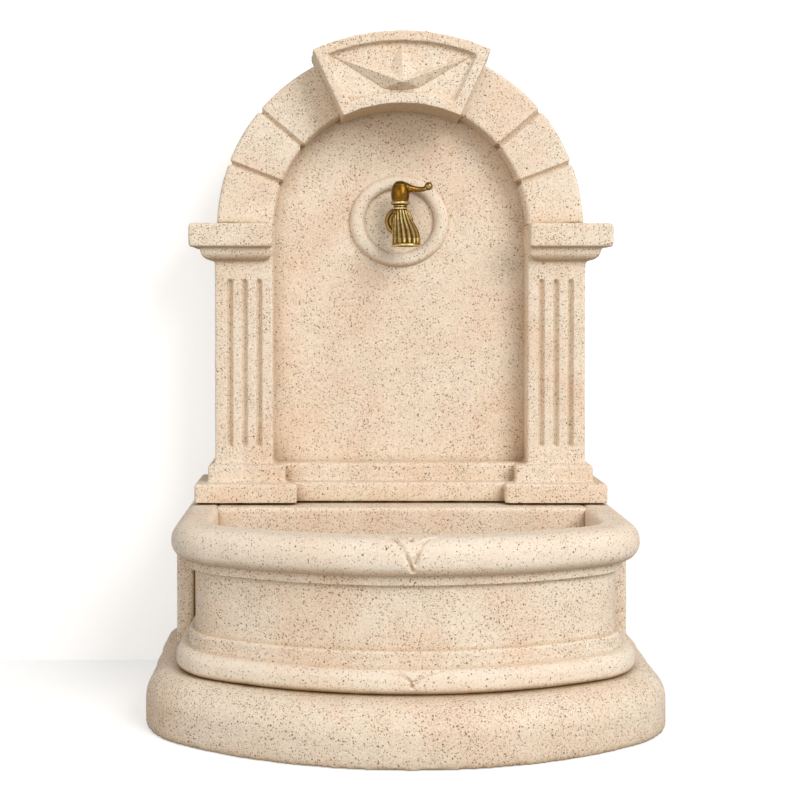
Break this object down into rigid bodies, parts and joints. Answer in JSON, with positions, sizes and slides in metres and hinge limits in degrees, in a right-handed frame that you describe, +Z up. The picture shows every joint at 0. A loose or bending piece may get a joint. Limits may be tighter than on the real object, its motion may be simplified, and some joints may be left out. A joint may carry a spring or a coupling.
{
  "type": "garden wall fountain",
  "caption": "Cast-stone wall fountain: bow-fronted basin on a base slab, arched back panel with keystone and pilasters, and a lever tap over the basin.",
  "frame": {"origin": "on the ground, at the centre of the rectangle round the base slab", "axes": "+Z up, +X to the right seen from the front, -Y out of the front (the flat back that goes to the wall faces +Y)"},
  "size_m": [0.766, 0.4849, 1.0453],
  "materials": {
    "cast_stone": "cast sandstone-coloured concrete, matt, pitted",
    "aged_brass": "aged brass casting, polished on the high spots",
    "plumbing_brass": "plain turned brass",
    "copper": "copper tube",
    "steel": "stainless steel",
    "rubber": "black rubber",
    "fibre": "red vulcanised fibre",
    "ceramic": "ground alumina ceramic",
    "clip_plastic": "grey nylon"
  },
  "bodies": {
    "fountain": {"base_slab": "cast_stone", "basin": "cast_stone", "back_panel": "cast_stone", "panel_dowels": "steel", "tap_flange": "aged_brass", "tap_body": "aged_brass", "headwork_body": "plumbing_brass", "disc_seal": "rubber", "headwork_gasket": "rubber", "fixed_disc": "ceramic", "fibre_washer": "fibre", "back_washer": "steel", "back_nut": "plumbing_brass", "inlet_elbow": "plumbing_brass", "pipe_olive": "plumbing_brass", "pipe_nut": "plumbing_brass", "supply_pipe": "copper", "inlet_union": "plumbing_brass", "pipe_clips": "clip_plastic", "waste_body": "plumbing_brass", "waste_gasket_top": "rubber", "waste_gasket_under": "rubber", "waste_nut": "plumbing_brass"},
    "tap_handle": {"lever_handle": "aged_brass", "handle_screw": "steel", "spindle": "plumbing_brass", "spindle_o_ring": "rubber", "turning_disc": "ceramic"},
    "drain_plug": {"waste_plug": "plumbing_brass", "plug_seal": "rubber"}
  },
  "joints": [
    {"name": "tap_turn", "type": "hinge", "parent": "fountain", "child": "tap_handle", "pos_m": [0, 0.1505, 0.77], "axis": [0, 0, 1], "range_deg": [-90, 0]},
    {"name": "plug_lift", "type": "slide", "parent": "fountain", "child": "drain_plug", "axis": [0, 0, 1], "range_m": [0, 0.04]}
  ]
}
